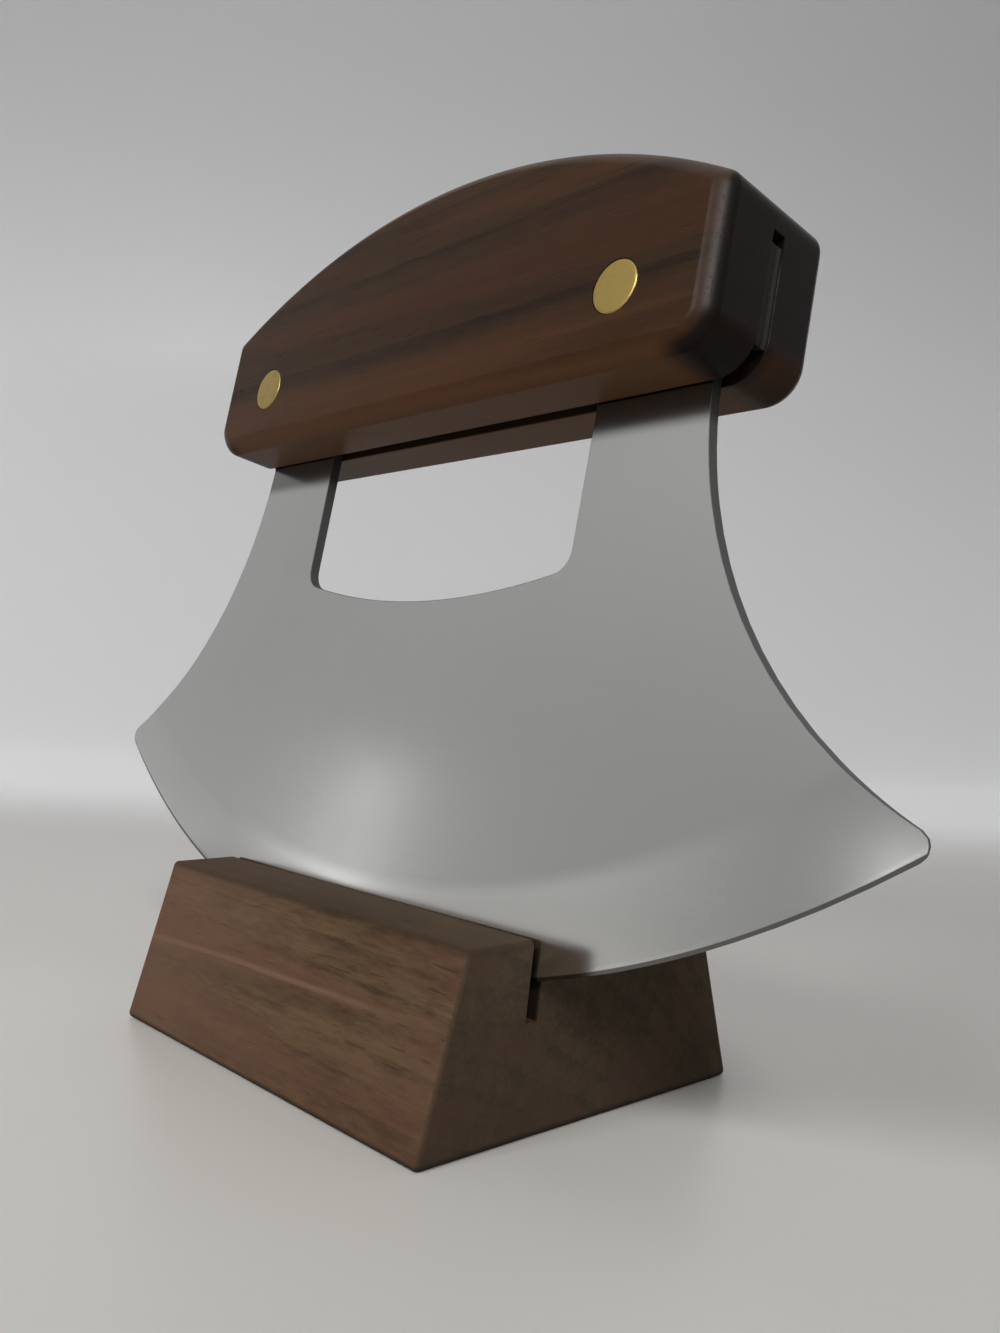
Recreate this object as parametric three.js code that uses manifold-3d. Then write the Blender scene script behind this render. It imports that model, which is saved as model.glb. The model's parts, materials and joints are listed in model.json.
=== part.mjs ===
// Ulu knife standing in its slotted wooden block.
// Millimetres, +Z up. The origin is the middle of the block's underside, X runs along the slot and -Y is
// the side that the slot lies nearer to. The knife leans back towards +Y, with its weight over the block.
// The knife has its own frame: its origin is the lowest point of the edge and Z runs up the blade.

import * as THREE from 'three';
import { mergeVertices, toCreasedNormals } from 'three/addons/utils/BufferGeometryUtils.js';
import Module from 'manifold-3d';

const wasm = await Module();
wasm.setup();

// Blade: a steel plate with a curved edge, hollow flanks, a finger opening and two tangs
const BLADE_SPAN = 152;           // between the two points before they are rounded
const BLADE_THICKNESS = 1.5;
const EDGE_RADIUS = 131;          // of the cutting edge seen from the front
const EDGE_THICKNESS = 0.2;       // left by the grinding
const BEVEL_HEIGHT = 10;          // ground band above the edge, on both faces
const POINT_ROUNDING = 1.6;
const FLANK_RADIUS = 51;
const FINGER_WIDTH = 54.4;        // opening between the tangs
const FINGER_FLOOR = 46.6;        // lowest point of the opening above the edge
const FINGER_FLOOR_RADIUS = 115;
const FINGER_CORNER = 3;
const TANG_WIDTH = 16.8;
const TANG_DEPTH = 15.2;          // length inside the handle
const TANG_CORNER = 1;

// Handle: a block with an arched back, sawn from below for the tangs
const HANDLE_RISE = 69.8;         // underside above the lowest point of the edge
const HANDLE_THICKNESS = 19;
const HANDLE_OVERHANG = 5;        // wood beyond each tang
const KERF_ROOF = 3.2;            // wood above the kerf at the two ends
const CROWN_RISE = 13.4;          // height of the arch over its ends
const LOWER_CORNER = 7;
const UPPER_CORNER = 4;
const HANDLE_EASING = 2.2;        // rounding of the long edges
const KERF_CLEARANCE = 0.2;       // each side of a tang

// Pins: brass rod through the handle and the middle of each tang
const PIN_DIAMETER = 6.35;
const PIN_RISE = 8.8;             // above the handle's underside
const PIN_CHAMFER = 0.25;
const PIN_CLEARANCE = 0.15;       // all round

// Stand: a block of bevelled section with a slot that the ground edge leans back in
const STAND_LENGTH = 64.5;
const STAND_HEIGHT = 21.2;
const STAND_BASE = 50.2;          // width at the underside
const STAND_TOP = 37.9;           // width at the top
const STAND_EASING = 0.7;         // rounding of the long edges
const STAND_END_EASING = 0.6;     // rounding of the two ends
const SLOT_OFFSET = 8.8;          // blade in front of the block's middle, at the top
const SLOT_DEPTH = 8.7;
const SLOT_CLEARANCE = 0.1;       // at the front of the edge and at the rear lip
const SLOT_LEAN = THREE.MathUtils.degToRad(6);
const KNIFE_LEAN = THREE.MathUtils.degToRad(10.8);

// Shared
const SEAT_GAP = 0.3;             // under the edge in the slot, and over a tang in the kerf
const OVERSHOOT = 5;              // how far a cutter runs past what it cuts
const ARC_STEPS = 6;
const ROUNDING_STEPS = 4;
const GRIND_FACETS = 144;
const PIN_FACETS = 32;

// Sizes that follow from the ones above
const tangInner = FINGER_WIDTH / 2;
const tangOuter = tangInner + TANG_WIDTH;
const tangTop = HANDLE_RISE + TANG_DEPTH;
const pinX = (tangInner + tangOuter) / 2;
const pinZ = HANDLE_RISE + PIN_RISE;
const handleHalf = tangOuter + HANDLE_OVERHANG;
const kerfDepth = TANG_DEPTH + SEAT_GAP;
const handleEndHeight = kerfDepth + KERF_ROOF;
const grindTaper = (BLADE_THICKNESS - EDGE_THICKNESS) / 2 / BEVEL_HEIGHT;

const STEEL = { color: '#9b9b99', roughness: 0.38, metalness: 1 };
const DARK_WOOD = { color: '#4d3226', roughness: 0.45, metalness: 0 };
const BRASS = { color: '#c8a662', roughness: 0.3, metalness: 1 };
const PALE_WOOD = { color: '#6d5748', roughness: 0.75, metalness: 0 };

const point = (x, y) => new THREE.Vector2(x, y);
const heading = (from, to) => to.clone().sub(from).angle();

/** Centre that lies a from p and b from q, on the right hand looking from p to q. */
function meet(p, a, q, b) {
  const gap = p.distanceTo(q);
  const along = (a * a - b * b + gap * gap) / (2 * gap);
  const across = Math.sqrt(a * a - along * along);
  const way = q.clone().sub(p).divideScalar(gap);
  return point(p.x + way.x * along + way.y * across, p.y + way.y * along - way.x * across);
}

/** Arc that rounds the left turn at b on the path a, b, c. */
function corner(a, b, c, radius) {
  const back = a.clone().sub(b).normalize();
  const on = c.clone().sub(b).normalize();
  const half = Math.acos(back.dot(on)) / 2;
  const centre = back.clone().add(on).setLength(radius / Math.sin(half)).add(b);
  const reach = radius / Math.tan(half);
  const start = back.multiplyScalar(reach).add(b);
  const end = on.multiplyScalar(reach).add(b);
  return { centre, radius, from: heading(centre, start), to: heading(centre, end), clockwise: false };
}

/**
 * Closed outline from the arcs of its right half, anticlockwise from the foot to the top.
 * The left half mirrors them, and straight stretches join each arc to the next.
 */
function outline(rightArcs) {
  const leftArcs = rightArcs.toReversed().map((arc) => ({
    ...arc,
    centre: point(-arc.centre.x, arc.centre.y),
    from: Math.PI - arc.to,
    to: Math.PI - arc.from,
  }));
  const shape = new THREE.Shape();
  for (const { centre, radius, from, to, clockwise } of [...rightArcs, ...leftArcs]) {
    shape.absarc(centre.x, centre.y, radius, from, to, clockwise);
  }
  return shape;
}

/** Prism of an outline, centred on its plane, its two faces rounded off by easing. */
function prism(shape, thickness, easing = 0) {
  const depth = thickness - 2 * easing;
  const geometry = new THREE.ExtrudeGeometry(shape, {
    depth,
    curveSegments: ARC_STEPS,
    bevelEnabled: easing > 0,
    bevelThickness: easing,
    bevelSize: easing,
    bevelOffset: -easing,
    bevelSegments: ROUNDING_STEPS,
  });
  return geometry.translate(0, 0, -depth / 2);
}

/** Turns a prism drawn in X and Y upright, so that its outline stands in X and Z. */
const upright = (geometry) => geometry.rotateX(Math.PI / 2);

/** Turns a prism drawn in X and Y so that its outline stands in Y and Z and its length runs along X. */
function lengthwise(geometry) {
  const basis = new THREE.Matrix4().makeBasis(
    new THREE.Vector3(0, 1, 0), new THREE.Vector3(0, 0, 1), new THREE.Vector3(1, 0, 0));
  return geometry.applyMatrix4(basis);
}

/** Solid of a closed geometry, for joining and cutting. */
function solid(geometry) {
  const bare = geometry.clone();
  bare.deleteAttribute('normal');
  bare.deleteAttribute('uv');
  const merged = mergeVertices(bare);
  return new wasm.Manifold(new wasm.Mesh({
    numProp: 3,
    vertProperties: new Float32Array(merged.attributes.position.array),
    triVerts: new Uint32Array(merged.index.array),
  }));
}

/** Named mesh of a solid, with the material's finish. */
function piece(name, body, finish) {
  const mesh = body.getMesh();
  const geometry = new THREE.BufferGeometry();
  geometry.setAttribute('position', new THREE.BufferAttribute(mesh.vertProperties, 3));
  geometry.setIndex(new THREE.BufferAttribute(mesh.triVerts, 1));
  const result = new THREE.Mesh(toCreasedNormals(geometry, Math.PI / 6), new THREE.MeshStandardMaterial(finish));
  result.name = name;
  return result;
}

/** Round bores through the knife at both pins. */
function pinBores() {
  const bore = new THREE.CylinderGeometry(
    PIN_DIAMETER / 2 + PIN_CLEARANCE, PIN_DIAMETER / 2 + PIN_CLEARANCE,
    HANDLE_THICKNESS + 2 * OVERSHOOT, PIN_FACETS);
  const left = solid(bore.clone().translate(-pinX, 0, pinZ));
  return left.add(solid(bore.translate(pinX, 0, pinZ)));
}

/** Blade outline: edge, points, flanks, tangs and the finger opening between them. */
function bladeOutline() {
  const edge = point(0, EDGE_RADIUS);
  const pointHeight = EDGE_RADIUS - Math.sqrt(EDGE_RADIUS ** 2 - (BLADE_SPAN / 2) ** 2);
  const flankX = tangOuter + FLANK_RADIUS;
  const flank = point(flankX, pointHeight + Math.sqrt(FLANK_RADIUS ** 2 - (flankX - BLADE_SPAN / 2) ** 2));
  const tip = meet(edge, EDGE_RADIUS - POINT_ROUNDING, flank, FLANK_RADIUS + POINT_ROUNDING);
  const flankOver = Math.max(0, flank.y - (tangTop - TANG_CORNER));
  const floor = point(0, FINGER_FLOOR + FINGER_FLOOR_RADIUS);
  const nookX = tangInner - FINGER_CORNER;
  const nook = point(nookX, floor.y - Math.sqrt((FINGER_FLOOR_RADIUS - FINGER_CORNER) ** 2 - nookX ** 2));
  const tangFoot = point(tangOuter, 0);
  const tangHead = [point(tangOuter, tangTop), point(tangInner, tangTop)];
  return outline([
    { centre: edge, radius: EDGE_RADIUS, from: -Math.PI / 2, to: heading(edge, tip), clockwise: false },
    { centre: tip, radius: POINT_ROUNDING, from: heading(edge, tip), to: heading(tip, flank), clockwise: false },
    {
      centre: flank, radius: FLANK_RADIUS,
      from: heading(flank, tip), to: Math.PI + Math.asin(flankOver / FLANK_RADIUS), clockwise: true,
    },
    corner(tangFoot, tangHead[0], tangHead[1], TANG_CORNER),
    corner(tangHead[0], tangHead[1], point(tangInner, 0), TANG_CORNER),
    { centre: nook, radius: FINGER_CORNER, from: 0, to: heading(floor, nook), clockwise: true },
    { centre: floor, radius: FINGER_FLOOR_RADIUS, from: heading(floor, nook), to: -Math.PI / 2, clockwise: true },
  ]);
}

/** Disc with a tapered rim about the edge's centre. The plate inside it has its edge ground on both faces. */
function grind() {
  const inner = EDGE_RADIUS - 2 * BEVEL_HEIGHT;
  const innerHalf = BLADE_THICKNESS / 2 + grindTaper * BEVEL_HEIGHT;
  const rim = EDGE_RADIUS + EDGE_THICKNESS / 2 / grindTaper;
  const profile = [
    point(0, -innerHalf), point(inner, -innerHalf), point(rim, 0), point(inner, innerHalf), point(0, innerHalf),
  ];
  return new THREE.LatheGeometry(profile, GRIND_FACETS).translate(0, 0, EDGE_RADIUS);
}

function blade() {
  const plate = solid(upright(prism(bladeOutline(), BLADE_THICKNESS)));
  return piece('blade', plate.intersect(solid(grind())).subtract(pinBores()), STEEL);
}

/** Handle outline: flat underside, rounded ends and an arched back. */
function handleOutline() {
  const crownRadius = (CROWN_RISE ** 2 + handleHalf ** 2) / (2 * CROWN_RISE);
  const crown = point(0, HANDLE_RISE + handleEndHeight + CROWN_RISE - crownRadius);
  const shoulderX = handleHalf - UPPER_CORNER;
  const shoulder = point(shoulderX, crown.y + Math.sqrt((crownRadius - UPPER_CORNER) ** 2 - shoulderX ** 2));
  const foot = point(handleHalf, HANDLE_RISE);
  return outline([
    corner(point(0, HANDLE_RISE), foot, shoulder.clone().setX(handleHalf), LOWER_CORNER),
    { centre: shoulder, radius: UPPER_CORNER, from: 0, to: heading(crown, shoulder), clockwise: false },
    { centre: crown, radius: crownRadius, from: heading(crown, shoulder), to: Math.PI / 2, clockwise: false },
  ]);
}

function handle() {
  const block = solid(upright(prism(handleOutline(), HANDLE_THICKNESS, HANDLE_EASING)));
  const kerf = new THREE.BoxGeometry(
    2 * (handleHalf + OVERSHOOT), BLADE_THICKNESS + 2 * KERF_CLEARANCE, kerfDepth + OVERSHOOT);
  kerf.translate(0, 0, HANDLE_RISE + (kerfDepth - OVERSHOOT) / 2);
  return piece('handle', block.subtract(solid(kerf)).subtract(pinBores()), DARK_WOOD);
}

/** Pin with its two rims chamfered, flush with the handle's faces. */
function pin(name, side) {
  const radius = PIN_DIAMETER / 2;
  const half = HANDLE_THICKNESS / 2;
  const profile = [
    point(0, -half), point(radius - PIN_CHAMFER, -half), point(radius, PIN_CHAMFER - half),
    point(radius, half - PIN_CHAMFER), point(radius - PIN_CHAMFER, half), point(0, half),
  ];
  const rod = new THREE.LatheGeometry(profile, PIN_FACETS).translate(side * pinX, 0, pinZ);
  return piece(name, solid(rod), BRASS);
}

/** Place on the slot's floor under the edge, with Z up at the given lean. */
function seat(lean) {
  const place = new THREE.Matrix4().makeRotationX(-lean);
  return place.setPosition(0, -SLOT_OFFSET - SLOT_DEPTH * Math.tan(KNIFE_LEAN), STAND_HEIGHT - SLOT_DEPTH);
}

/** Slot through the block's length, wide enough for the edge at its front and the leaning blade at its mouth. */
function slot() {
  const mouth = SLOT_DEPTH / Math.cos(SLOT_LEAN);
  const drift = mouth * Math.tan(KNIFE_LEAN - SLOT_LEAN);
  const half = Math.min(BLADE_THICKNESS / 2, EDGE_THICKNESS / 2 + grindTaper * mouth);
  const front = Math.max(EDGE_THICKNESS / 2, half - drift) + SLOT_CLEARANCE;
  const back = drift + half + SLOT_CLEARANCE;
  const reach = mouth + OVERSHOOT;
  const cutter = new THREE.BoxGeometry(STAND_LENGTH + 2 * OVERSHOOT, front + back, reach);
  return cutter.translate(0, (back - front) / 2, reach / 2).applyMatrix4(seat(SLOT_LEAN));
}

function stand() {
  const foot = point(STAND_BASE / 2, 0);
  const shoulder = point(STAND_TOP / 2, STAND_HEIGHT);
  const section = outline([
    corner(point(0, 0), foot, shoulder, STAND_EASING),
    corner(foot, shoulder, point(0, STAND_HEIGHT), STAND_EASING),
  ]);
  const block = solid(lengthwise(prism(section, STAND_LENGTH, STAND_END_EASING)));
  return piece('stand', block.subtract(solid(slot())), PALE_WOOD);
}

const knife = new THREE.Group();
knife.add(blade(), handle(), pin('pin_left', -1), pin('pin_right', 1));
knife.applyMatrix4(seat(KNIFE_LEAN));
knife.translateZ(SEAT_GAP);

const ulu = new THREE.Group();
ulu.add(stand(), knife);

export default ulu;
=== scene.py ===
"""Ulu knife in its slotted wooden stand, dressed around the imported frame.

Everything is in metres in the frame's own axes. The knife is worked out upright, with u along the edge,
v through its thickness and w up the blade, and is then leaned back to where the frame holds it.
"""

import json
import math

import bmesh
import bpy
import numpy as np
from bpy.props import FloatProperty, FloatVectorProperty, PointerProperty
from mathutils import Matrix, Vector


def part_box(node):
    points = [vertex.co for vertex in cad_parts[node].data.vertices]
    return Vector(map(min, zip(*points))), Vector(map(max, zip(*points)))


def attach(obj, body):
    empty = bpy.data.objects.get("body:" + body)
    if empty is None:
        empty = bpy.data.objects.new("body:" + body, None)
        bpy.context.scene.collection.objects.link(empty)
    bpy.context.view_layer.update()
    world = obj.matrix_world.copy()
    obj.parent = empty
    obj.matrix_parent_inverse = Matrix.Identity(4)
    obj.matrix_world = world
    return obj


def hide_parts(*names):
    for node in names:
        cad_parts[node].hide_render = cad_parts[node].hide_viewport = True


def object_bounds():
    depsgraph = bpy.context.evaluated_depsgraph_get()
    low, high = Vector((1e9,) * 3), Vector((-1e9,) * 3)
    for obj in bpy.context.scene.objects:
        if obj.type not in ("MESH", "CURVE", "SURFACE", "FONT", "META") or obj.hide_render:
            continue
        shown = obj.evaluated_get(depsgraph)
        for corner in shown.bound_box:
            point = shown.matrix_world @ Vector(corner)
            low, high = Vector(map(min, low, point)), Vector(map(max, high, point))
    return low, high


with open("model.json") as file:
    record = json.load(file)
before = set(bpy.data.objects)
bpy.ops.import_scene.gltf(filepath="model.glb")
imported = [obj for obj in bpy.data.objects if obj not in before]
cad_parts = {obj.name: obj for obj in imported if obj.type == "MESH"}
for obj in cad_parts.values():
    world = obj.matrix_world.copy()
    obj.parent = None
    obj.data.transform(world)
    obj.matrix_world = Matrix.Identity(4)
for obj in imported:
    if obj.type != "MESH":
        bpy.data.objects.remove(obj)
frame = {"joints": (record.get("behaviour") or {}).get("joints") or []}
cad_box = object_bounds()

bl_info = {
    "name": "Ulu knife and stand",
    "version": (1, 0, 0),
    "blender": (4, 5, 0),
    "location": "View3D > Sidebar > Ulu",
    "description": "Builds a steel ulu with a walnut handle and brass pins, leaning in its walnut stand",
    "category": "Object",
}

MM = 0.001
WELD = 0.002 * MM                    # points nearer than this become one
CREASE = math.radians(28)            # sharper edges than this stay sharp
EASED = 1.35                         # 1 rounds the handle's long edges, 2 would cut them flat
LIP = 0.12 * MM                      # breaking of the kerf's lips
GLUE_GAP = 0.05 * MM                 # between a tang and the glue beyond it

# Where the frame holds the knife
KNIFE_BODY = "knife"
STAND_BODY = "stand"
PIN_HEIGHT = 78.6 * MM               # pins above the lowest point of the edge
LIFT_AXIS = next(joint["axis"] for joint in frame["joints"] if joint["name"] == "knife_lift")
LEAN = math.atan2(LIFT_AXIS[1], LIFT_AXIS[2])


def middle(node):
    """Middle of a frame node's box."""
    low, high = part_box(node)
    return (low + high) / 2


PIN_U = middle("pin_right").x
KNIFE_FOOT = Vector((0, *middle("pin_right").yz)) - PIN_HEIGHT * Vector((0, math.sin(LEAN), math.cos(LEAN)))
STAND_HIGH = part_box("stand")[1]

# Camera of the reference view: it looks at a point from an azimuth, an elevation and a distance
CAMERA_TARGET = Vector((23.9, -8.8, 50.3)) * MM
CAMERA_AZIMUTH = math.radians(47.78)
CAMERA_ELEVATION = math.radians(-0.62)
CAMERA_ROLL = math.radians(2.33)
CAMERA_DISTANCE = 131.6 * MM
CAMERA_LENS = 31.5                   # millimetres on a 36 mm sensor

# Lamps that face the part: width and height in metres, azimuth and elevation in degrees, distance in metres
LAMPS = {
    "key": (0.34, 0.3, 2, 33, 0.9),
    "overhead": (1.2, 1.2, 20, 86, 1.2),
    "window": (0.05, 0.19, -53.8, 1.6, 0.9),
    "glint": (0.04, 0.06, -19, 3.5, 0.9),
    "side": (0.18, 0.24, 54, 35, 0.8),
}
WASH_AIM = Vector((-1.04, 0.21, 0.24))
WASH_LAMP = (0.5, 0.36, 27, 0, 0.6)


# Settings

def length(name, millimetres, description):
    """Length property with its default given in millimetres."""
    return FloatProperty(
        name=name, description=description, default=millimetres * MM, min=0, unit="LENGTH", precision=5)


def share(name, default, description):
    """Property from nothing to all."""
    return FloatProperty(name=name, description=description, default=default, min=0, max=1, subtype="FACTOR")


def colour(name, default, description):
    """Linear colour property."""
    return FloatVectorProperty(
        name=name, description=description, default=default, min=0, max=1, size=3, subtype="COLOR")


def power(name, watts, description):
    """Power property of a lamp."""
    return FloatProperty(name=name, description=description, default=watts, min=0, unit="POWER")


class BladeSettings(bpy.types.PropertyGroup):
    """Sizes and finish of the blade."""
    span: length("Span", 152, "Between the two points before they are rounded")
    thickness: length("Thickness", 1.5, "Thickness of the plate")
    edge_radius: length("Edge radius", 131, "Radius of the cutting edge seen from the front")
    point_rounding: length("Point rounding", 1.6, "Radius of the two points")
    flank_radius: length("Flank radius", 51, "Radius of the hollow sides")
    finger_width: length("Finger opening", 54.4, "Between the two tangs")
    finger_floor: length("Finger floor", 46.6, "Lowest point of the opening above the edge")
    floor_radius: length("Floor radius", 115, "Radius of the opening's floor")
    finger_corner: length("Finger corner", 3, "Radius of the opening's lower corners")
    tang_width: length("Tang width", 16.8, "Width of each tang in the handle")
    tang_top: length("Tang top", 85, "Top of the tangs above the edge")
    bore: length("Bore", 6.6, "Diameter of the holes for the pins")
    bevel: length("Bevel", 10, "Height of the ground band above the edge")
    bevel_softness: length("Bevel softness", 1.5, "Half the width of the line where the grinding starts")
    bevel_edge: length("Ground edge", 0.2, "Thickness that the wide bevel would leave at the edge")
    honing: length("Honing", 0.42, "Height of the steep honed band at the edge")
    rim: length("Rim", 0.1, "Rounding of the cut edges")
    # The tangs are painted darker from this height up, as the handle's shade and reflection on them
    handle_shade_line: length("Oil line", 66.8, "Height above the edge from which oil has darkened the tangs")
    steel: colour("Steel", (0.60, 0.60, 0.585), "Colour of the satin steel")
    roughness: share("Roughness", 0.175, "Roughness of the satin faces")


class HandleSettings(bpy.types.PropertyGroup):
    """Sizes and finish of the handle and of the glue in its kerf."""
    rise: length("Rise", 69.8, "Underside above the lowest point of the edge")
    half: length("Half length", 49.1, "From the middle to each end")
    thickness: length("Thickness", 19, "From face to face")
    end_height: length("End height", 19, "Height at the ends before the corners are rounded")
    crown: length("Crown", 13.1, "Rise of the arched back over the ends")
    lower_corner: length("Lower corner", 4.4, "Radius of the lower corners")
    upper_corner: length("Upper corner", 2.6, "Radius of the upper corners")
    easing: length("Easing", 2.2, "Rounding of the long edges")
    kerf: length("Kerf", 1.9, "Width of the saw cut for the tangs")
    kerf_depth: length("Kerf depth", 16, "Depth of the saw cut")
    bore: length("Bore", 6.45, "Diameter of the holes for the pins")
    glue_depth: length("Glue depth", 0.1, "How far the glue lies under the wood")
    glue_start: length("Glue start", 3.2, "Lower end of the glue above the underside")
    glue_void: length("Glue void", 1.3, "Empty stretch at the top of the kerf's ends")
    dark: colour("Dark grain", (0.012, 0.0055, 0.002), "Darkest streaks of the walnut")
    pale: colour("Pale grain", (0.057, 0.0255, 0.010), "Palest streaks of the walnut")
    red: colour("Red grain", (0.065, 0.0235, 0.008), "Reddish streaks of the walnut")
    # Colour of the painted highlight on the upright edges
    edge_highlight: colour("Rubbed edge", (0.056, 0.043, 0.036), "Dry upright edges")
    glue: colour("Glue", (0.009, 0.008, 0.007), "Colour of the glue in the kerf")
    glue_line: colour("Glue line", (0.030, 0.026, 0.021), "Paler line down the glue")


class PinSettings(bpy.types.PropertyGroup):
    """Sizes and finish of the two pins."""
    diameter: length("Diameter", 6.35, "Diameter of the brass rod")
    proud: length("Proud", 0.05, "How far the filed ends stand over the wood")
    chamfer: length("Chamfer", 0.22, "Breaking of the rims")
    brass: colour("Brass", (0.48, 0.345, 0.105), "Colour of the brass")
    roughness: share("Roughness", 0.30, "Roughness of the filed ends")


class StandSettings(bpy.types.PropertyGroup):
    """Sizes and finish of the stand."""
    base: length("Base", 50.2, "Width at the underside before the edges are rounded")
    top: length("Top", 37.9, "Width at the top before the edges are rounded")
    easing: length("Easing", 0.7, "Rounding of the long edges")
    end_easing: length("End easing", 0.6, "Rounding of the two ends")
    slot_offset: length("Slot offset", 8.8, "Blade in front of the middle at the top")
    slot_depth: length("Slot depth", 8.7, "Depth of the slot")
    slot_front: length("Slot front", 0.2, "From the edge to the slot's front wall")
    slot_back: length("Slot back", 1.5, "From the edge to the slot's rear wall")
    slot_lean: FloatProperty(
        name="Slot lean", description="Lean of the slot's walls", default=math.radians(6), subtype="ANGLE")
    unevenness: length("Unevenness", 0.05, "Height of the waves that the sanding left")
    dark: colour("Dark grain", (0.050, 0.030, 0.014), "Darkest streaks of the walnut")
    pale: colour("Pale grain", (0.132, 0.079, 0.041), "Palest streaks of the walnut")
    red: colour("Red grain", (0.122, 0.056, 0.037), "Reddish streaks of the walnut")
    sunned: colour("Sunned wood", (0.172, 0.098, 0.064), "Paler left of the front face")
    end_grain: colour("End grain", (0.043, 0.032, 0.022), "Colour of the two ends")
    streak: colour("Sap streak", (0.220, 0.130, 0.085), "Pale line in the front face")


class StageSettings(bpy.types.PropertyGroup):
    """Floor, backdrop and light."""
    floor: colour("Floor", (0.74, 0.72, 0.68), "Colour of the floor")
    backdrop: colour("Backdrop", (0.88, 0.88, 0.89), "Colour of the backdrop above the floor")
    roughness: share("Roughness", 0.34, "Roughness of the floor")
    glow: share("Glow", 0.38, "How much paler the camera and the steel see the backdrop")
    key: power("Key", 3.05, "Power of the main light")
    overhead: power("Overhead", 0.5, "Power of the light above")
    wash: power("Wash", 0.42, "Power of the light on the backdrop")
    window: power("Window", 0.0225, "Power of the small light that the blade mirrors")
    glint: power("Glint", 0.021, "Power of the small light that the right point mirrors")
    side: power("Side", 2.7, "Power of the small light beside the camera")
    ambient: share("Ambient", 0.062, "Strength of the light from all round")
    surroundings: share("Surroundings", 0.39, "Brightness of what the steel and the camera see all round")


# Shapes

class Skin:
    """Gathers grids and flat caps, and welds them into one closed mesh."""

    def __init__(self):
        self.points = []
        self.faces = []
        self.count = 0

    def add(self, points, faces):
        """Adds points and the faces that join them by their numbers."""
        self.points.append(points)
        self.faces += [[self.count + corner for corner in face] for face in faces]
        self.count += len(points)

    def grid(self, points, closed=False):
        """Quads between the neighbours of a grid of points, whose columns may close on themselves."""
        rows, columns = points.shape[:2]
        number = np.arange(rows * columns).reshape(rows, columns)
        if closed:
            number = np.concatenate([number, number[:, :1]], axis=1)
        quads = np.stack([number[:-1, :-1], number[:-1, 1:], number[1:, 1:], number[1:, :-1]], axis=-1)
        self.add(points.reshape(-1, 3), quads.reshape(-1, 4).tolist())

    def cap(self, points):
        """One flat face."""
        self.add(points, [list(range(len(points)))])

    def build(self, name, material, closed=True):
        """Object with the welded mesh, its faces pointing out, its sharp edges kept sharp."""
        mesh = bpy.data.meshes.new(name)
        mesh.from_pydata(np.concatenate(self.points), [], self.faces)
        work = bmesh.new()
        work.from_mesh(mesh)
        bmesh.ops.remove_doubles(work, verts=work.verts, dist=WELD)
        bmesh.ops.recalc_face_normals(work, faces=work.faces)
        if closed and any(len(edge.link_faces) != 2 for edge in work.edges):
            raise RuntimeError(f"{name} isn't closed")
        work.to_mesh(mesh)
        work.free()
        mesh.shade_smooth()
        mesh.set_sharp_from_angle(angle=CREASE)
        mesh.materials.append(material)
        piece = bpy.data.objects.new(name, mesh)
        bpy.context.scene.collection.objects.link(piece)
        flat_faces = piece.modifiers.new("flat_faces", "WEIGHTED_NORMAL")
        flat_faces.keep_sharp = True
        return piece


def fit(piece, body, slot, *nodes):
    """Hands a piece to the frame: the body it rides on and the nodes it stands for. The finish's name, slot,
    is not used.
    """
    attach(piece, body)
    if nodes:
        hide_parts(*nodes)


def lean_back(u, v, w):
    """Upright knife to the frame: x = u, y = foot + v cos a + w sin a, z = foot - v sin a + w cos a."""
    u, v, w = np.broadcast_arrays(u, v, w)
    y = KNIFE_FOOT.y + v * math.cos(LEAN) + w * math.sin(LEAN)
    z = KNIFE_FOOT.z - v * math.sin(LEAN) + w * math.cos(LEAN)
    return np.stack([u, y, z], axis=-1)


def arc(centre, radius, start, end, steps):
    """Points centre + radius (cos t, sin t), with t from start to end in equal steps."""
    t = np.linspace(start, end, steps + 1)
    return np.asarray(centre) + radius * np.stack([np.cos(t), np.sin(t)], axis=-1)


def meet(p, a, q, b):
    """Points at distance a from p and b from q, on the right hand looking from p to q."""
    gap = np.hypot(*(q - p))
    way = (q - p) / gap
    along = (a * a - b * b + gap * gap) / (2 * gap)
    across = np.sqrt(np.maximum(a * a - along * along, 0))
    return p + np.multiply.outer(along, way) + np.multiply.outer(across, np.array([way[1], -way[0]]))


def heading(p, q):
    """Direction from p to q as an angle."""
    return math.atan2(q[1] - p[1], q[0] - p[0])


def steps_between(*stops):
    """Values from stop to stop, given as value, count, value, count and so on, without doubles."""
    spans = [np.linspace(stops[i], stops[i + 2], stops[i + 1] + 1)[1:] for i in range(0, len(stops) - 2, 2)]
    return np.concatenate([[stops[0]], *spans])


def outward(loop):
    """Unit normals on the right hand of a closed path: the mean of the two edges at each point."""
    edge = np.roll(loop, -1, axis=0) - loop
    edge /= np.linalg.norm(edge, axis=1, keepdims=True)
    mean = edge + np.roll(edge, 1, axis=0)
    mean /= np.linalg.norm(mean, axis=1, keepdims=True)
    return np.stack([mean[:, 1], -mean[:, 0]], axis=-1)


# Blade

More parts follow.
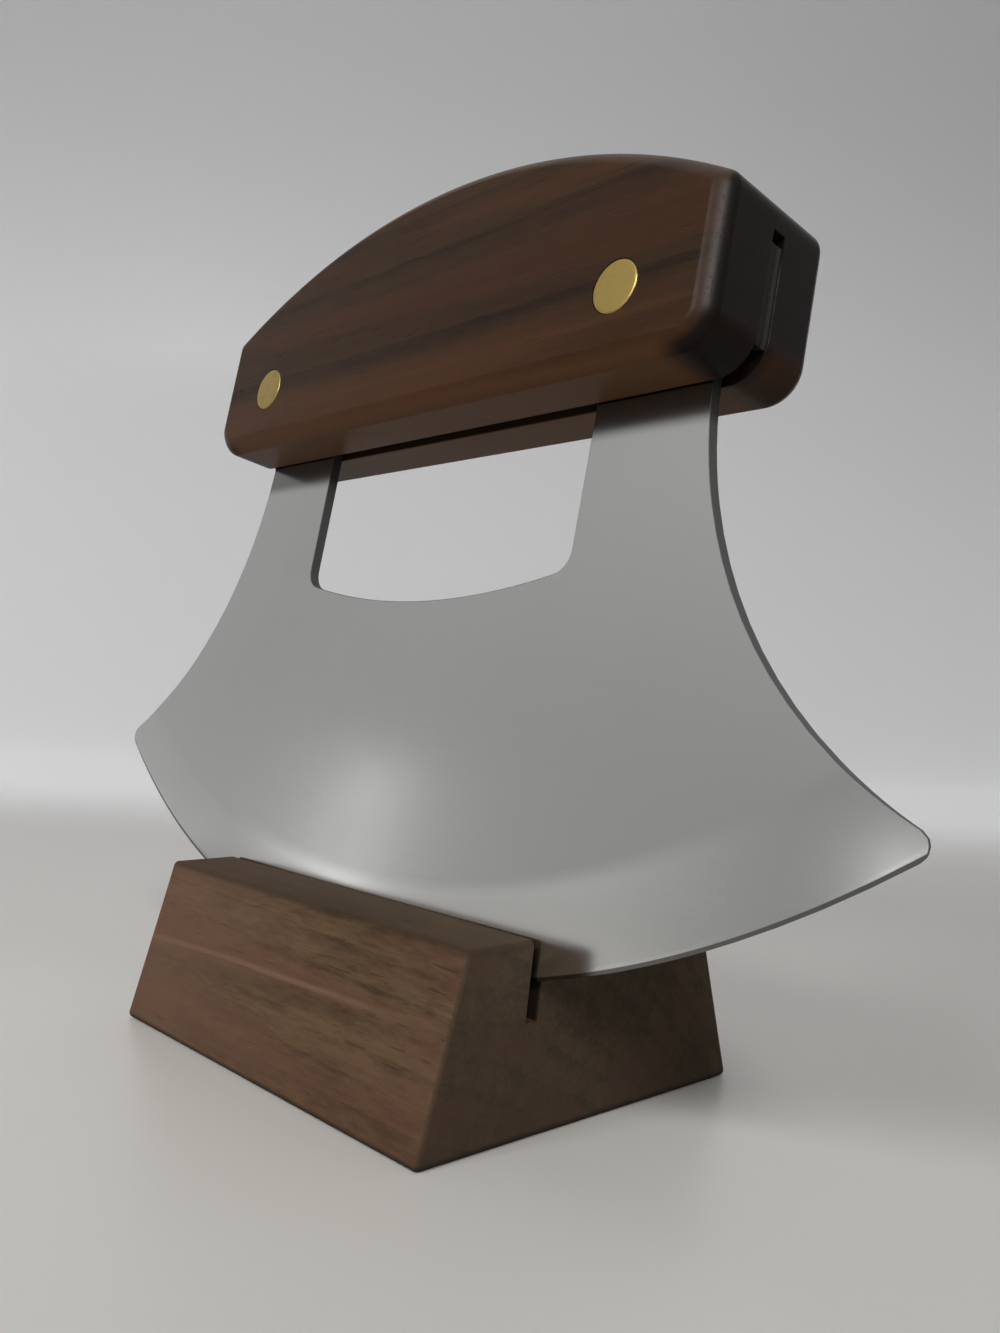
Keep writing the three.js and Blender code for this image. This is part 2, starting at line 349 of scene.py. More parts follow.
class BladeForm:
    """Circles of the blade's outline, drawn inside the real one by the rounding of its rim."""

    def __init__(self, size):
        self.size = size
        inset = size.rim
        half = size.span / 2
        point = size.edge_radius - math.sqrt(size.edge_radius ** 2 - half ** 2)
        outer = size.finger_width / 2 + size.tang_width
        flank_u = outer + size.flank_radius
        drop = math.sqrt(size.flank_radius ** 2 - (flank_u - half) ** 2)
        nook_u = size.finger_width / 2 - size.finger_corner
        self.centre = np.array([0, size.edge_radius])
        self.flank = np.array([flank_u, point + drop])
        self.flank_radius = size.flank_radius + inset
        self.tip = meet(self.centre, np.float64(size.edge_radius - size.point_rounding),
                        self.flank, size.flank_radius + size.point_rounding)
        self.tip_radius = size.point_rounding - inset
        self.floor = np.array([0, size.finger_floor + size.floor_radius])
        self.floor_angle = math.asin(nook_u / (size.floor_radius - size.finger_corner))
        reach = (size.floor_radius - size.finger_corner) * math.cos(self.floor_angle)
        self.nook = np.array([nook_u, self.floor[1] - reach])
        self.tang_inner = size.finger_width / 2 + inset
        self.tang_outer = outer - inset
        self.tip_depth = self.depth(self.tip + self.tip_radius * self.toward(self.tip, self.flank))

    @staticmethod
    def toward(p, q):
        """Unit vector from p to q."""
        return (q - p) / np.hypot(*(q - p))

    def depth(self, points):
        """Distance of points from the cutting edge, along the radius of its circle."""
        return self.size.edge_radius - np.linalg.norm(points - self.centre, axis=-1)

    def thickness(self, depth):
        """Half the blade's thickness at a depth: the plate, the bevel easing into it, and the honed band.

        Within s of the bevel's line, at q = (depth - bevel) / s, the plate loses taper s (1 - q)^2 / 4.
        """
        size = self.size
        plate = size.thickness / 2
        taper = (plate - size.bevel_edge / 2) / size.bevel
        soft = size.bevel_softness
        q = np.clip((depth - size.bevel) / soft, -1, 1)
        wide = plate - taper * (soft * (1 - q) ** 2 / 4 + np.maximum(size.bevel - soft - depth, 0))
        honed = (size.bevel_edge / 2 + taper * size.honing) * (0.1 + 0.9 * depth / size.honing)
        return np.minimum(wide, honed)

    def side(self, depth):
        """Point of the right border at each depth: round the tip, then up the flank."""
        ring = self.size.edge_radius - depth
        reach = np.hypot(*(self.tip - self.centre))
        turn = (ring ** 2 - reach ** 2 - self.tip_radius ** 2) / (2 * reach * self.tip_radius)
        angle = heading(self.centre, self.tip) + np.arccos(np.clip(turn, -1, 1))
        tip = self.tip + self.tip_radius * np.stack([np.cos(angle), np.sin(angle)], axis=-1)
        flank = meet(self.centre, ring, self.flank, self.flank_radius)
        return np.where((depth < self.tip_depth)[:, None], tip, flank)

    def flank_u(self, w):
        """Right border of the tang at a height."""
        hollow = self.flank[0] - np.sqrt(self.flank_radius ** 2 - np.minimum(w - self.flank[1], 0) ** 2)
        return np.where(w < self.flank[1], hollow, self.tang_outer)


def blade_grids(form):
    """Grids of the blade's face as arrays of (u, w), and the closed loop of their border.

    Below the finger opening each row is an arc at one depth from the edge, from flank to flank. Above it,
    ribs run up to the opening's floor, and rows cross each tang, round its bore, from opening to flank.
    """
    size = form.size
    bore = size.bore / 2
    near = np.array([size.rim, 0.24 * MM, 0.36 * MM, size.honing, 0.9 * MM, 1.5 * MM])
    soft = size.bevel_softness
    belt = size.finger_floor - 3.5 * MM
    upward = steps_between(form.tip_depth, 7, size.bevel - soft, 6, size.bevel + soft, 9, belt)
    depths = np.concatenate([near[near < form.tip_depth], upward])
    border = form.side(depths)

    floor = arc(form.floor, size.floor_radius + size.rim, -math.pi / 2, form.floor_angle - math.pi / 2, 16)
    nook = arc(form.nook, size.finger_corner + size.rim, form.floor_angle - math.pi / 2, 0, 7)
    ceiling = np.concatenate([floor, nook[1:]])
    columns = steps_between(0, 16, floor[-1, 0], 7, form.tang_inner, 4, PIN_U, 4, border[-1, 0])
    turn = np.arcsin(columns / (size.edge_radius - depths[-1]))
    turn = np.concatenate([-turn[:0:-1], turn]) / turn[-1]
    angle = np.outer(np.arctan2(border[:, 0], size.edge_radius - border[:, 1]), turn)
    ring = (size.edge_radius - depths)[:, None]
    rows = np.stack([ring * np.sin(angle), size.edge_radius - ring * np.cos(angle)], axis=-1)

    last = rows[-1, len(columns) - 1:]
    rise = np.linspace(0, 1, 4)[:, None, None]
    ribs = last[:len(ceiling)] * (1 - rise) + ceiling * rise

    hole = PIN_HEIGHT + bore * np.sin(np.linspace(-math.pi / 2, math.pi / 2, 13))
    top = np.linspace(hole[-1], size.tang_top - size.rim, 4)[1:]
    nook_row = 3
    hole_row = nook_row + 6

    def heights(foot, knee):
        """Rows up one side of a tang: foot to knee, knee to hole, past the hole and to the top."""
        low = steps_between(foot, nook_row, knee, hole_row - nook_row, hole[0])
        return np.concatenate([low, hole[1:], top])

    left_w = heights(last[len(ceiling) - 1, 1], form.nook[1])
    right_w = heights(last[-1, 1], last[-1, 1] + 4 * MM)
    right_u = form.flank_u(right_w)
    notch = np.sqrt(np.maximum(bore ** 2 - (left_w - PIN_HEIGHT) ** 2, 0))
    across = np.linspace(0, 1, 5)
    inner_u = form.tang_inner + np.outer(PIN_U - notch - form.tang_inner, across)
    outer_u = (PIN_U + notch)[:, None] + np.outer(right_u - PIN_U - notch, across)
    bulge = np.maximum(1 - np.arange(len(left_w)) / nook_row, 0)[:, None]
    tang = []
    for u, arc_row in ((inner_u, last[len(ceiling) - 1:][:5]), (outer_u, last[-5:])):
        slope = (right_w - left_w) / (right_u - form.tang_inner)
        w = left_w[:, None] + slope[:, None] * (u - form.tang_inner)
        straight = np.stack([u, w], axis=-1)
        tang.append(straight + bulge[..., None] * (arc_row - straight[0]))
    inner, outer = tang

    half = np.concatenate([
        rows[0, len(columns) - 1:], rows[1:, -1], outer[1:, -1], outer[-1, -2::-1], inner[-1, -2::-1],
        inner[-2:nook_row - 1:-1, 0], ceiling[-2::-1]])
    mirror = np.array([-1, 1])
    loop = np.concatenate([half, (half * mirror)[-2:0:-1]])
    hole_end = hole_row + len(hole) - 1
    holes = np.concatenate([inner[hole_row:hole_end + 1, -1], outer[hole_end - 1:hole_row:-1, 0]])
    return [rows], [ribs, inner, outer], loop, holes


def blade_mesh(size, material):
    """Both faces of the blade, the rounded rim carried round its border, and the walls of its two bores."""
    form = BladeForm(size)
    whole, halves, loop, hole = blade_grids(form)
    mirror = np.array([-1, 1])
    skin = Skin()
    for grid in [*whole, *halves, *[grid * mirror for grid in halves]]:
        half = form.thickness(form.depth(grid))
        for side in (-1, 1):
            skin.grid(lean_back(grid[..., 0], side * half, grid[..., 1]))
    half = form.thickness(form.depth(loop))
    normal = outward(loop)
    round_off = np.minimum(size.rim, half)
    quarter = np.linspace(0, math.pi / 2, 5)
    out = np.concatenate([np.sin(quarter), np.sin(quarter[::-1])])[:, None]
    down = np.concatenate([1 - np.cos(quarter), 1 - np.cos(quarter[::-1])])[:, None]
    side = np.repeat([-1, 1], len(quarter))[:, None]
    rim = loop + size.rim * out[..., None] * normal
    skin.grid(lean_back(rim[..., 0], side * (half - round_off * down), rim[..., 1]), closed=True)
    through = size.thickness / 2 * np.array([-1, 1])[:, None]
    for flip in (1, -1):
        skin.grid(lean_back(flip * hole[:, 0], through, hole[:, 1]), closed=True)
    return skin.build("ulu_blade", material)


# Handle

class HandleForm:
    """Outline of the handle's flat faces, inside the real outline by the rounding of the long edges."""

    def __init__(self, size):
        self.size = size
        crown_radius = (size.crown ** 2 + size.half ** 2) / (2 * size.crown)
        self.crown = np.array([0, size.rise + size.end_height + size.crown - crown_radius])
        self.crown_radius = crown_radius - size.easing
        shoulder_u = size.half - size.upper_corner
        rise = math.sqrt((crown_radius - size.upper_corner) ** 2 - shoulder_u ** 2)
        self.shoulder = np.array([shoulder_u, self.crown[1] + rise])
        self.shoulder_radius = size.upper_corner - size.easing
        self.foot = np.array([size.half - size.lower_corner, size.rise + size.lower_corner])
        self.foot_radius = size.lower_corner - size.easing
        self.turn = heading(self.crown, self.shoulder)
        self.end = size.half - size.easing
        self.shoulder_end = shoulder_u + self.shoulder_radius * math.cos(self.turn)
        self.kerf_top = size.rise + size.kerf_depth

    def top(self, u):
        """Upper border over u: the crown's arc, then the shoulder's."""
        u = np.abs(u)
        shoulder = np.sqrt(np.maximum(self.shoulder_radius ** 2 - (u - self.shoulder[0]) ** 2, 0))
        crown = self.crown[1] + np.sqrt(self.crown_radius ** 2 - u ** 2)
        return np.where(u > self.shoulder_end, self.shoulder[1] + shoulder, crown)

    def bottom(self, u):
        """Lower border over u: a straight, then the foot's arc."""
        reach = np.maximum(np.abs(u) - self.foot[0], 0)
        return self.foot[1] - np.sqrt(np.maximum(self.foot_radius ** 2 - reach ** 2, 0))

    def notch(self, u):
        """Half the height of the pin holes over u."""
        return np.sqrt(np.maximum((self.size.bore / 2) ** 2 - (np.abs(u) - PIN_U) ** 2, 0))

    def columns(self):
        """Places along the handle, closer together round its corners and holes."""
        quarter = np.linspace(0, math.pi / 2, 11)
        foot = self.foot[0] + self.foot_radius * np.sin(quarter)
        shoulder = self.shoulder[0] + self.shoulder_radius * np.cos(np.linspace(0, self.turn, 6))
        hole = PIN_U + self.size.bore / 2 * np.cos(np.linspace(0, math.pi, 25))
        plain = np.linspace(0, self.foot[0], 29)
        inside = np.abs(plain - PIN_U) > self.size.bore / 2 + 0.4 * MM
        right = np.concatenate([foot, shoulder, hole, plain[inside]])
        right = right[np.unique(np.round(right, 7), return_index=True)[1]]
        return np.concatenate([-right[:0:-1], right])

    def normals(self, loop):
        """Outward unit normals of the border, from the centre of the arc that each point lies on."""
        u, w = loop.T
        side = np.sign(u)
        at_foot = (np.abs(u) > self.foot[0]) & (w < self.foot[1])
        at_end = (np.abs(u) > self.end - WELD) & (w <= self.shoulder[1])
        under = w < self.foot[1]
        at_shoulder = np.abs(u) > self.shoulder_end
        centre = np.select(
            [at_foot[:, None], at_end[:, None], under[:, None], at_shoulder[:, None]],
            [np.stack([side * self.foot[0], np.full_like(u, self.foot[1])], axis=-1),
             np.stack([u - side, w], axis=-1),
             np.stack([u, w + 1], axis=-1),
             np.stack([side * self.shoulder[0], np.full_like(u, self.shoulder[1])], axis=-1)],
            np.broadcast_to(self.crown, loop.shape))
        way = loop - centre
        return way / np.linalg.norm(way, axis=1, keepdims=True)


def handle_mesh(size, material):
    """Handle: flat faces round the pin holes, the rounded border carried round them, and the kerf.

    The faces are columns between the lower and the upper border, parted at the pins' height. Each column of
    the kerf's walls runs from the underside to the kerf's roof in the same way.
    """
    form = HandleForm(size)
    u = form.columns()
    notch = form.notch(u)
    kerf_share = (form.kerf_top - PIN_HEIGHT) / (form.shoulder[1] - PIN_HEIGHT)
    low = np.linspace(0, 1, 5)[:, None]
    kerf_row = 4
    high = steps_between(0, kerf_row, kerf_share, 2, 1)[:, None]
    lower = form.bottom(u) + low * (PIN_HEIGHT - notch - form.bottom(u))
    upper = PIN_HEIGHT + notch + high * (form.top(u) - PIN_HEIGHT - notch)
    lower = np.stack([np.broadcast_to(u, lower.shape), lower], axis=-1)
    upper = np.stack([np.broadcast_to(u, upper.shape), upper], axis=-1)
    loop = np.concatenate([
        lower[0], lower[1:, -1], upper[1:, -1], upper[-1, -2::-1], upper[-2::-1, 0], lower[-2:0:-1, 0]])
    normal = form.normals(loop)
    right_kerf = len(u) + len(low) - 1 + kerf_row - 1
    left_kerf = right_kerf + 2 * (len(high) - 1 - kerf_row) + len(u) - 1
    number = np.arange(len(loop))
    lip = np.where((number >= right_kerf) & (number <= left_kerf), 0, LIP)[:, None]
    half = size.thickness / 2
    kerf = size.kerf / 2

    quarter = np.linspace(0, math.pi / 2, 9)[:, None]
    eased = loop + size.easing * (np.sin(quarter) ** EASED)[..., None] * normal
    eased_v = half - size.easing * (1 - np.cos(quarter) ** EASED)
    outer = loop + size.easing * normal
    mouth = outer - lip * normal
    border = np.concatenate([eased, outer[None], mouth[None]])
    border_v = np.concatenate([eased_v, [[kerf + LIP], [kerf]]])

    mouth_low = mouth[:len(u)]
    wall_notch = form.notch(mouth_low[:, 0])
    wall_lower = mouth_low[:, 1] + low * (PIN_HEIGHT - wall_notch - mouth_low[:, 1])
    wall_upper = PIN_HEIGHT + wall_notch + high[:kerf_row + 1] / kerf_share * (
        form.kerf_top - PIN_HEIGHT - wall_notch)
    wall_u = np.broadcast_to(mouth_low[:, 0], wall_upper.shape).copy()
    wall_u[-1, [0, -1]] = [-size.half, size.half]

    skin = Skin()
    for side in (-1, 1):
        skin.grid(lean_back(lower[..., 0], side * half, lower[..., 1]))
        skin.grid(lean_back(upper[..., 0], side * half, upper[..., 1]))
        skin.grid(lean_back(border[..., 0], side * border_v, border[..., 1]), closed=True)
        skin.grid(lean_back(mouth_low[:, 0], side * kerf, wall_lower))
        skin.grid(lean_back(wall_u, side * kerf, wall_upper))
        depth = side * np.array([half, kerf])[:, None]
        for pin in (-PIN_U, PIN_U):
            at = np.abs(u - pin) < size.bore / 2 + WELD
            hole = np.concatenate([lower[-1, at], upper[0, at][-2:0:-1]])
            skin.grid(lean_back(hole[:, 0], depth, hole[:, 1]), closed=True)
    over = outer[right_kerf:left_kerf + 1]
    across = kerf * np.array([-1, 1])[:, None]
    skin.grid(lean_back(over[:, 0], across, over[:, 1]))
    skin.grid(lean_back(wall_u[-1], across, wall_upper[-1]))
    return skin.build("ulu_handle", material)


def glue_mesh(size, blade, material):
    """Glue in the two ends of the kerf, beyond the tangs: flat outlines carried through the kerf's width.

    Across the kerf the visible side sinks by sag (1 - t^2), with t from -1 to 1, as glue does when it sets.
    """
    outer = blade.finger_width / 2 + blade.tang_width + GLUE_GAP
    foot = np.array([size.half - size.lower_corner, size.rise + size.lower_corner])
    radius = size.lower_corner - size.glue_depth
    high = size.rise + size.kerf_depth - size.glue_void
    start = math.asin((size.glue_start - size.lower_corner) / radius)
    slant = 0.6 * MM
    plug = np.concatenate([
        arc(foot, radius, start, 0, 8), [[foot[0] + radius, high], [outer, high - slant]],
        [[outer, size.rise + size.glue_start + 2 * slant]]])
    t = np.linspace(-1, 1, 9)[:, None]
    sag = 0.06 * MM * (1 - t ** 2)
    width = (size.kerf / 2 - 0.02 * MM) * t
    skin = Skin()
    for outline in (plug, (plug * np.array([-1, 1]))[::-1]):
        ring = outline - sag[..., None] * outward(outline)
        skin.grid(lean_back(ring[..., 0], width, ring[..., 1]), closed=True)
        skin.cap(lean_back(outline[:, 0], width[0], outline[:, 1]))
        skin.cap(lean_back(outline[:, 0], width[-1], outline[:, 1]))
    return skin.build("ulu_kerf_glue", material)


# Pins

def pin_mesh(name, u, size, reach, material):
    """Brass rod turned about its axis: a low dome at each end, a broken rim and a straight side."""
    radius = size.diameter / 2
    flat = radius - size.chamfer
    dome = np.linspace(0, flat, 9)
    face = reach + size.proud * (1 - (dome / flat) ** 2 / 2)
    rim = np.linspace(0, math.pi / 2, 5)[1:]
    half_r = np.concatenate([dome, flat + size.chamfer * np.sin(rim)])
    half_v = np.concatenate([face, face[-1] - size.chamfer * (1 - np.cos(rim))])
    r = np.concatenate([half_r, half_r[::-1]])[:, None]
    v = np.concatenate([-half_v, half_v[::-1]])[:, None]
    turn = np.linspace(0, 2 * math.pi, 72, endpoint=False)
    skin = Skin()
    skin.grid(lean_back(u + r * np.cos(turn), v, PIN_HEIGHT + r * np.sin(turn)), closed=True)
    return skin.build(name, material)


# Stand

class Section:
    """Closed section of the stand: its points, and the way each one gives where the ends are rounded."""

    def __init__(self):
        self.points = []
        self.gives = []
        self.waviness = []

    def add(self, points, gives, wavy=0.0):
        """Adds points that share a way of giving; wavy is how much the sanding shows there."""
        points = np.atleast_2d(points)
        self.points.append(points)
        self.gives.append(np.broadcast_to(gives, points.shape))
        self.waviness.append(np.full(len(points), wavy))

    def corner(self, before, at, after, radius, steps, wavy):
        """Rounds a left turn: an arc that touches both sides, giving towards its centre."""
        back = (before - at) / np.hypot(*(before - at))
        on = (after - at) / np.hypot(*(after - at))
        half = math.acos(float(back @ on)) / 2
        mid = (back + on) / np.hypot(*(back + on))
        centre = at + mid * radius / math.sin(half)
        start = heading(centre, at + back * radius / math.tan(half))
        points = arc(centre, radius, start, start + math.pi - 2 * half, steps)
        self.add(points, (centre - points) / radius, wavy)

    def arrays(self):
        """All points, their ways of giving and their waviness."""
        return [np.concatenate(rows) for rows in (self.points, self.gives, self.waviness)]


def slot_lines(size, lean):
    """Slot in (y, z): the point under the edge on its floor, its direction up and its direction back."""
    floor = np.array([-size.slot_offset - size.slot_depth * math.tan(lean), STAND_HIGH.z - size.slot_depth])
    along = np.array([math.sin(size.slot_lean), math.cos(size.slot_lean)])
    return floor, along, np.array([along[1], -along[0]])


def stand_section(size, lean):
    """Section in (y, z), anticlockwise seen from +X: underside, rear side, top, slot, top and front side.

    Also gives the number of the point in the middle of the slot's floor.
    """
    height = STAND_HIGH.z
    back_foot = np.array([size.base / 2, 0])
    back_top = np.array([size.top / 2, height])
    front_foot = back_foot * [-1, 1]
    front_top = back_top * [-1, 1]
    floor, along, over = slot_lines(size, lean)

    def wall(v):
        """Foot and lip of the slot's wall at a distance v behind the edge."""
        foot = floor + v * over
        return foot, foot + along * (height - foot[1]) / along[1]

    def between(a, b, steps):
        """Points between two others in equal steps."""
        return a + np.linspace(0, 1, steps + 1)[1:-1, None] * (b - a)

    rear_foot, rear_lip = wall(size.slot_back)
    front_wall_foot, front_lip = wall(-size.slot_front)
    under = np.array([floor[0], 0])
    break_edge = 0.18 * MM
    side = np.array([1, 0])
    section = Section()
    section.add(under, [0, 1])
    section.add(between(under, back_foot, 6), [0, 1])
    section.corner(under, back_foot, back_top, size.easing, 6, 0.3)
    section.add(between(back_foot, back_top, 9)[1:-1], -over_side(back_foot, back_top), 1.0)
    section.corner(back_foot, back_top, rear_lip, size.easing, 6, 0.3)
    section.add(between(back_top, rear_lip, 9)[1:], [0, -1], 0.7)
    section.add([rear_lip + break_edge * side, rear_lip - break_edge * along], -along / along[1])
    section.add(between(rear_lip, rear_foot, 6), [0, 0])
    section.add([rear_foot, (rear_foot + front_wall_foot) / 2, front_wall_foot], [0, 0])
    floor_number = sum(map(len, section.points)) - 2
    section.add(between(front_wall_foot, front_lip, 6), [0, 0])
    section.add([front_lip - break_edge * along, front_lip - break_edge * side], -along / along[1])
    section.add(between(front_lip, front_top, 6)[:-1], [0, -1], 0.7)
    section.corner(front_lip, front_top, front_foot, size.easing, 6, 0.3)
    section.add(between(front_top, front_foot, 9)[1:-1], -over_side(front_top, front_foot), 1.0)
    section.corner(front_top, front_foot, under, size.easing, 6, 0.3)
    section.add(between(front_foot, under, 4), [0, 1])
    return section.arrays(), floor_number


def over_side(p, q):
    """Outward unit normal of the side from p to q of an anticlockwise outline."""
    way = (q - p) / np.hypot(*(q - p))
    return np.array([way[1], -way[0]])


def stand_mesh(size, material):
    """Section carried along X: point + inset * way of giving, the inset a quarter circle at both ends.

    The sanded faces rise and fall by sines of x that shift from point to point of the section.
    """
    (points, gives, wavy), floor_number = stand_section(size, LEAN)
    end = STAND_HIGH.x
    quarter = np.linspace(0, math.pi / 2, 7)
    inset = np.concatenate([[size.end_easing + 0.07 * MM], size.end_easing * (1 - np.sin(quarter))])
    place = np.concatenate([[end], end - size.end_easing * (1 - np.cos(quarter))])
    body = np.linspace(place[-1], -place[-1], 65)[1:-1]
    x = np.concatenate([place, body, -place[::-1]])[:, None]
    inset = np.concatenate([inset, np.zeros_like(body), inset[::-1]])[:, None, None]
    phase = np.cumsum(np.r_[0, np.hypot(*np.diff(points, axis=0).T)])
    wave = (np.sin(x / (6.1 * MM) + phase / (4.7 * MM)) + np.sin(x / (2.7 * MM) - phase / (8.3 * MM))
            + np.sin(x / (15 * MM) + 1.3)) / 3
    sunk = size.unevenness * wavy * (0.5 + 0.5 * wave)
    rings = points + (inset + sunk[..., None]) * gives
    solid = np.stack([np.broadcast_to(x, rings.shape[:2]), rings[..., 0], rings[..., 1]], axis=-1)
    skin = Skin()
    skin.grid(solid, closed=True)
    for ring in (solid[0], solid[-1]):
        skin.cap(ring[:floor_number + 1])
        skin.cap(np.concatenate([ring[floor_number:], ring[:1]]))
    return skin.build("ulu_stand", material)


# Finishes

class Value:
    """Socket of a node tree. Arithmetic with numbers or other values adds Math nodes."""

    def __init__(self, finish, socket):
        self.finish = finish
        self.socket = socket

    def math(self, operation, *others):
        """Math node of this value and others."""
        return self.finish.add("ShaderNodeMath", {"operation": operation}, dict(enumerate((self, *others))))

    def reflected(self, operation, other):
        """Math node with the plain number first."""
        return self.finish.add("ShaderNodeMath", {"operation": operation}, {0: other, 1: self})

    def __add__(self, other):
        return self.math("ADD", other)

    __radd__ = __add__

    def __sub__(self, other):
        return self.math("SUBTRACT", other)

    def __rsub__(self, other):
        return self.reflected("SUBTRACT", other)

    def __mul__(self, other):
        return self.math("MULTIPLY", other)

    __rmul__ = __mul__

    def __truediv__(self, other):
        return self.math("DIVIDE", other)

    def __rtruediv__(self, other):
        return self.reflected("DIVIDE", other)

    def __pow__(self, other):
        return self.math("POWER", other)

    def __abs__(self):
        return self.math("ABSOLUTE")

    def step(self, low, high):
        """Smooth step from 0 at low to 1 at high, or down if low is the higher."""
        settings = {"interpolation_type": "SMOOTHSTEP"}
        if low < high:
            return self.finish.add("ShaderNodeMapRange", settings, {"Value": self, 1: low, 2: high})
        return 1 - self.finish.add("ShaderNodeMapRange", settings, {"Value": self, 1: high, 2: low})


class Nodes:
    """Node tree that is written as expressions."""

    def __init__(self, tree):
        self.tree = tree

    def add(self, kind, settings=None, inputs=None, output=0):
        """Adds a node of a type: its settings first, then the values or links of its sockets."""
        node = self.tree.nodes.new(kind)
        for name, value in (settings or {}).items():
            setattr(node, name, value)
        self.feed(node, inputs or {})
        return Value(self, node.outputs[output])

    def feed(self, node, inputs):
        """Sets or links a node's sockets."""
        for key, value in inputs.items():
            if isinstance(value, Value):
                self.tree.links.new(value.socket, node.inputs[key])
            else:
                node.inputs[key].default_value = value

    def place(self, location=(0, 0, 0), rotation=(0, 0, 0)):
        """Object coordinates seen from a frame of their own."""
        point = self.add("ShaderNodeTexCoord", output="Object")
        inputs = {"Vector": point, "Location": location, "Rotation": rotation}
        return self.add("ShaderNodeMapping", {"vector_type": "TEXTURE"}, inputs)

    def split(self, point):
        """The three numbers of a vector."""
        first = self.add("ShaderNodeSeparateXYZ", inputs={0: point})
        return [Value(self, socket) for socket in first.socket.node.outputs]

    def stretch(self, point, scale):
        """Vector times a scale for each axis."""
        return self.add("ShaderNodeVectorMath", {"operation": "MULTIPLY"}, {0: point, 1: scale})

    def noise(self, point, scale, detail=3.0, roughness=0.55):
        """Noise from 0 to 1 with so many waves in a metre along each axis."""
        point = self.stretch(point, scale)
        inputs = {"Vector": point, "Scale": 1.0, "Detail": detail, "Roughness": roughness, "Distortion": 0.0}
        return self.add("ShaderNodeTexNoise", {"normalize": True}, inputs)

    def mix(self, share_of_second, first, second):
        """Mix of two colours, each a value or a plain colour."""
        settings = {"data_type": "RGBA", "clamp_factor": True}
        first, second = [c if isinstance(c, Value) else (*c, 1) for c in (first, second)]
        inputs = {"Factor": share_of_second, 6: first, 7: second}
        return self.add("ShaderNodeMix", settings, inputs, output=2)

    def bump(self, height, strength, distance):
        """Normal of a height field, its full height the given distance."""
        inputs = {"Height": height, "Strength": strength, "Distance": distance}
        return self.add("ShaderNodeBump", {}, inputs, output="Normal")


class Finish(Nodes):
    """Node tree of one material, ending in its Principled shader."""

    def __init__(self, name):
        self.material = bpy.data.materials.new(name)
        self.material.use_nodes = True
        super().__init__(self.material.node_tree)

    def done(self, **inputs):
        """Feeds the shader, its socket names written with underscores, and returns the material."""
        shader = self.tree.nodes["Principled BSDF"]
        self.feed(shader, {name.replace("_", " "): value for name, value in inputs.items()})
        return self.material


def knife_place(finish):
    """Object coordinates turned upright with the knife: u, v and w in metres."""
    return finish.place(KNIFE_FOOT, (-LEAN, 0, 0))


def steel_finish(size):
    """Satin steel: faint brushing, a ground band polished most in its middle, rough rims; rims and edge
    painted darker as shade.

    The rims are where a point lies deeper than the face: half thickness(depth) - |v| > 0. The tops of
    the tangs under the handle are painted darker as the handle's shade and reflection.
    """
    finish = Finish("satin_steel")
    point = knife_place(finish)
    u, v, w = finish.split(point)
    up = size.edge_radius - w
    depth = size.edge_radius - (u * u + up * up) ** 0.5
    soft = size.bevel_softness
    taper = (size.thickness - size.bevel_edge) / (2 * size.bevel)
    q = ((depth - size.bevel) / soft).math("MAXIMUM", -1).math("MINIMUM", 1)
    thinned = soft / 4 * (1 - q) ** 2 + (size.bevel - soft - depth).math("MAXIMUM", 0)
    tip = (size.bevel_edge / 2 + taper * size.honing) * (0.1 + 0.9 / size.honing * depth)
    face = (size.thickness / 2 - taper * thinned).math("MINIMUM", tip)
    # The honed band and the rims are painted darker as shade; the rims are also rougher
    honed = depth.step(size.honing + 0.04 * MM, size.honing - 0.04 * MM)
    sheared_and_shaded = (face - abs(v)).step(0.002 * MM, 0.0035 * MM) * (1 - honed)
    ground = depth.step(size.bevel + soft, size.bevel - soft)
    polish = ground * (0.52 * u.step(-36 * MM, -12 * MM) * u.step(70 * MM, 32 * MM) - 0.07)
    brushing = finish.noise(point, (50, 40, 5200), 2.0)
    cloud = finish.noise(point, (26, 26, 34), 4.0, 0.6).step(0.42, 0.72)
    # Painted shade and reflection of the handle on the tops of the tangs
    handle_shade = w.step(size.handle_shade_line - 2 * MM, size.handle_shade_line)
    satin = 0.97 + 0.03 * brushing - 0.04 * cloud
    tone = (satin + polish) * (1 - 0.78 * sheared_and_shaded) * (1 - 0.75 * honed) * (1 - 0.6 * handle_shade)
    inputs = {0: size.steel, "Scale": tone}
    colour_of_steel = finish.add("ShaderNodeVectorMath", {"operation": "SCALE"}, inputs)
    roughness = size.roughness - 0.02 * ground + 0.04 * (brushing - 0.5) + 0.03 * cloud + 0.45 * sheared_and_shaded
    return finish.done(Base_Color=colour_of_steel, Metallic=1.0, Roughness=roughness)


